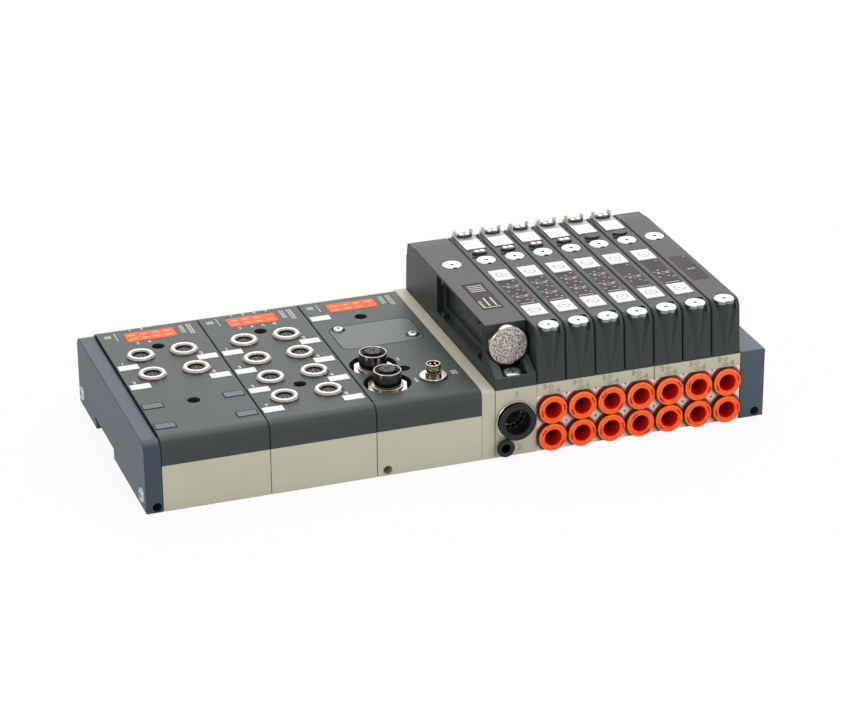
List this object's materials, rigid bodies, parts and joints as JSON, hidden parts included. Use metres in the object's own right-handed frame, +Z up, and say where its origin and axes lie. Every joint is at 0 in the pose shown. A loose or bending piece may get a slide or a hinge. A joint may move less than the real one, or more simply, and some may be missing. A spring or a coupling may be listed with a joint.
{
  "type": "pneumatic valve island",
  "caption": "Row of sensor input modules, a bus module and solenoid valves on a rail-mounted base, with push-in tube ports along the front.",
  "frame": {"origin": "centre of the bounding box at the underside", "axes": "+X along the row towards the valves, +Y away from the tube ports, +Z up from the mounting face"},
  "size_m": [0.2956, 0.1274, 0.0623],
  "materials": {
    "plate_blue": "satin blue-grey",
    "cream": "matt cream, fine grain",
    "dark_grey": "matt dark grey-green, fine grain",
    "zinc": "zinc plated",
    "nickel": "nickel plated",
    "black_plastic": "satin black",
    "collar_orange": "bright orange",
    "cartridge_white": "off-white",
    "override_white": "white",
    "tag_white": "white",
    "window_orange": "orange film",
    "lens_beige": "beige",
    "clear": "clear",
    "board": "green lacquer"
  },
  "bodies": {
    "island": {"blanking_head": "dark_grey", "bus_base": "cream", "bus_cover": "dark_grey", "cartridges": "cartridge_white", "circuit_boards": "board", "contact_carriers": "black_plastic", "cover_screws": "zinc", "head_screws": "zinc", "indicator_windows": "window_orange", "input_base_1": "cream", "input_base_2": "cream", "input_cover_1": "dark_grey", "input_cover_2": "dark_grey", "label_covers": "clear", "lamp_lenses": "lens_beige", "left_end_plate": "plate_blue", "m12_sockets": "nickel", "m8_sockets": "nickel", "marking_tags": "tag_white", "override_plates": "override_white", "pan_screws": "zinc", "power_plug": "nickel", "rail_clamps": "zinc", "right_end_plate": "plate_blue", "service_lid": "dark_grey", "silencer": "nickel", "supply_base": "cream", "supply_fittings": "nickel", "supply_head": "dark_grey", "valve_base_3": "cream", "valve_base_4": "cream", "valve_heads": "dark_grey"},
    "collar_1_lower": {"collar_1_lower": "collar_orange"},
    "collar_1_upper": {"collar_1_upper": "collar_orange"},
    "collar_2_lower": {"collar_2_lower": "collar_orange"},
    "collar_2_upper": {"collar_2_upper": "collar_orange"},
    "collar_3_lower": {"collar_3_lower": "collar_orange"},
    "collar_3_upper": {"collar_3_upper": "collar_orange"},
    "collar_4_lower": {"collar_4_lower": "collar_orange"},
    "collar_4_upper": {"collar_4_upper": "collar_orange"},
    "collar_5_lower": {"collar_5_lower": "collar_orange"},
    "collar_5_upper": {"collar_5_upper": "collar_orange"},
    "collar_6_lower": {"collar_6_lower": "collar_orange"},
    "collar_6_upper": {"collar_6_upper": "collar_orange"},
    "collar_7_lower": {"collar_7_lower": "collar_orange"},
    "collar_7_upper": {"collar_7_upper": "collar_orange"},
    "override_1_back": {"override_1_back": "override_white"},
    "override_1_front": {"override_1_front": "override_white"},
    "override_2_back": {"override_2_back": "override_white"},
    "override_2_front": {"override_2_front": "override_white"},
    "override_3_back": {"override_3_back": "override_white"},
    "override_3_front": {"override_3_front": "override_white"},
    "override_4_back": {"override_4_back": "override_white"},
    "override_4_front": {"override_4_front": "override_white"},
    "override_5_back": {"override_5_back": "override_white"},
    "override_5_front": {"override_5_front": "override_white"},
    "override_6_back": {"override_6_back": "override_white"},
    "override_6_front": {"override_6_front": "override_white"},
    "pilot_collar": {"pilot_collar": "black_plastic"},
    "supply_collar": {"supply_collar": "black_plastic"}
  },
  "joints": [
    {"name": "collar_1_lower_press", "type": "slide", "parent": "island", "child": "collar_1_lower", "axis": [0, 1, 0], "range_m": [0, 0.0007], "stiffness_N_per_m": 800},
    {"name": "collar_1_upper_press", "type": "slide", "parent": "island", "child": "collar_1_upper", "axis": [0, 1, 0], "range_m": [0, 0.0007], "stiffness_N_per_m": 800},
    {"name": "collar_2_lower_press", "type": "slide", "parent": "island", "child": "collar_2_lower", "axis": [0, 1, 0], "range_m": [0, 0.0007], "stiffness_N_per_m": 800},
    {"name": "collar_2_upper_press", "type": "slide", "parent": "island", "child": "collar_2_upper", "axis": [0, 1, 0], "range_m": [0, 0.0007], "stiffness_N_per_m": 800},
    {"name": "collar_3_lower_press", "type": "slide", "parent": "island", "child": "collar_3_lower", "axis": [0, 1, 0], "range_m": [0, 0.0007], "stiffness_N_per_m": 800},
    {"name": "collar_3_upper_press", "type": "slide", "parent": "island", "child": "collar_3_upper", "axis": [0, 1, 0], "range_m": [0, 0.0007], "stiffness_N_per_m": 800},
    {"name": "collar_4_lower_press", "type": "slide", "parent": "island", "child": "collar_4_lower", "axis": [0, 1, 0], "range_m": [0, 0.0007], "stiffness_N_per_m": 800},
    {"name": "collar_4_upper_press", "type": "slide", "parent": "island", "child": "collar_4_upper", "axis": [0, 1, 0], "range_m": [0, 0.0007], "stiffness_N_per_m": 800},
    {"name": "collar_5_lower_press", "type": "slide", "parent": "island", "child": "collar_5_lower", "axis": [0, 1, 0], "range_m": [0, 0.0007], "stiffness_N_per_m": 800},
    {"name": "collar_5_upper_press", "type": "slide", "parent": "island", "child": "collar_5_upper", "axis": [0, 1, 0], "range_m": [0, 0.0007], "stiffness_N_per_m": 800},
    {"name": "collar_6_lower_press", "type": "slide", "parent": "island", "child": "collar_6_lower", "axis": [0, 1, 0], "range_m": [0, 0.0007], "stiffness_N_per_m": 800},
    {"name": "collar_6_upper_press", "type": "slide", "parent": "island", "child": "collar_6_upper", "axis": [0, 1, 0], "range_m": [0, 0.0007], "stiffness_N_per_m": 800},
    {"name": "collar_7_lower_press", "type": "slide", "parent": "island", "child": "collar_7_lower", "axis": [0, 1, 0], "range_m": [0, 0.0007], "stiffness_N_per_m": 800},
    {"name": "collar_7_upper_press", "type": "slide", "parent": "island", "child": "collar_7_upper", "axis": [0, 1, 0], "range_m": [0, 0.0007], "stiffness_N_per_m": 800},
    {"name": "override_1_back_push", "type": "slide", "parent": "island", "child": "override_1_back", "axis": [0, 0, -1], "range_m": [0, 0.0015], "stiffness_N_per_m": 800},
    {"name": "override_1_front_push", "type": "slide", "parent": "island", "child": "override_1_front", "axis": [0, 0, -1], "range_m": [0, 0.0015], "stiffness_N_per_m": 800},
    {"name": "override_2_back_push", "type": "slide", "parent": "island", "child": "override_2_back", "axis": [0, 0, -1], "range_m": [0, 0.0015], "stiffness_N_per_m": 800},
    {"name": "override_2_front_push", "type": "slide", "parent": "island", "child": "override_2_front", "axis": [0, 0, -1], "range_m": [0, 0.0015], "stiffness_N_per_m": 800},
    {"name": "override_3_back_push", "type": "slide", "parent": "island", "child": "override_3_back", "axis": [0, 0, -1], "range_m": [0, 0.0015], "stiffness_N_per_m": 800},
    {"name": "override_3_front_push", "type": "slide", "parent": "island", "child": "override_3_front", "axis": [0, 0, -1], "range_m": [0, 0.0015], "stiffness_N_per_m": 800},
    {"name": "override_4_back_push", "type": "slide", "parent": "island", "child": "override_4_back", "axis": [0, 0, -1], "range_m": [0, 0.0015], "stiffness_N_per_m": 800},
    {"name": "override_4_front_push", "type": "slide", "parent": "island", "child": "override_4_front", "axis": [0, 0, -1], "range_m": [0, 0.0015], "stiffness_N_per_m": 800},
    {"name": "override_5_back_push", "type": "slide", "parent": "island", "child": "override_5_back", "axis": [0, 0, -1], "range_m": [0, 0.0015], "stiffness_N_per_m": 800},
    {"name": "override_5_front_push", "type": "slide", "parent": "island", "child": "override_5_front", "axis": [0, 0, -1], "range_m": [0, 0.0015], "stiffness_N_per_m": 800},
    {"name": "override_6_back_push", "type": "slide", "parent": "island", "child": "override_6_back", "axis": [0, 0, -1], "range_m": [0, 0.0015], "stiffness_N_per_m": 800},
    {"name": "override_6_front_push", "type": "slide", "parent": "island", "child": "override_6_front", "axis": [0, 0, -1], "range_m": [0, 0.0015], "stiffness_N_per_m": 800},
    {"name": "pilot_collar_press", "type": "slide", "parent": "island", "child": "pilot_collar", "axis": [0, 1, 0], "range_m": [0, 0.0007], "stiffness_N_per_m": 800},
    {"name": "supply_collar_press", "type": "slide", "parent": "island", "child": "supply_collar", "axis": [0, 1, 0], "range_m": [0, 0.0007], "stiffness_N_per_m": 800}
  ]
}
